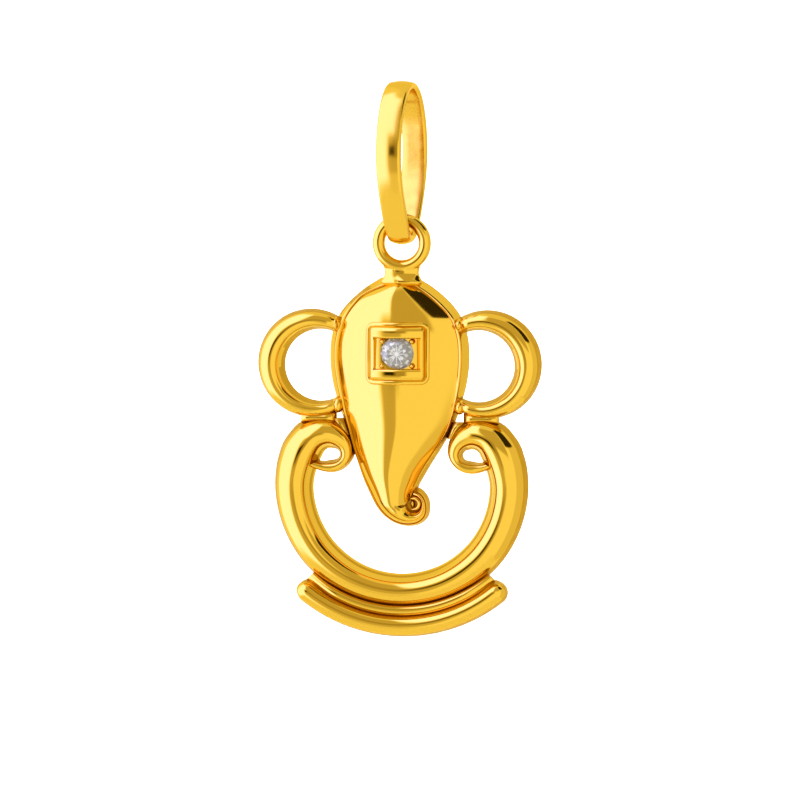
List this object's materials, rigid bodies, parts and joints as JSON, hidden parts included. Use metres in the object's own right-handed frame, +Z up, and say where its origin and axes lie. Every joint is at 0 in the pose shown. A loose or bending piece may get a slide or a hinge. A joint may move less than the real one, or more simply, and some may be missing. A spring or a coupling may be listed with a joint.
{
  "type": "ganesha pendant",
  "caption": "Gold elephant-head pendant with ring ears, scrolled arms and a base bar, set with a small round stone and hung by its top loop in an oval band bail.",
  "frame": {"origin": "chain seat: the middle of the inside of the bail's top, where the chain runs through", "axes": "+Z up, the pendant's front faces -Y, +X to the viewer's right"},
  "size_m": [0.0142, 0.005, 0.0276],
  "materials": {
    "bail_gold": "polished yellow gold of about 22 carat",
    "body_gold": "mirror-polished yellow gold of about 22 carat, the side walls a little duller",
    "stone": "polished clear facets"
  },
  "bodies": {
    "bail": {"bail": "bail_gold"},
    "pendant": {"pendant_body": "body_gold", "stone": "stone"}
  },
  "joints": [
    {"name": "pendant_swing", "type": "hinge", "parent": "bail", "child": "pendant", "pos_m": [0, 0, -0.00642], "axis": [1, 0, 0], "range_deg": [-35, 35]}
  ]
}
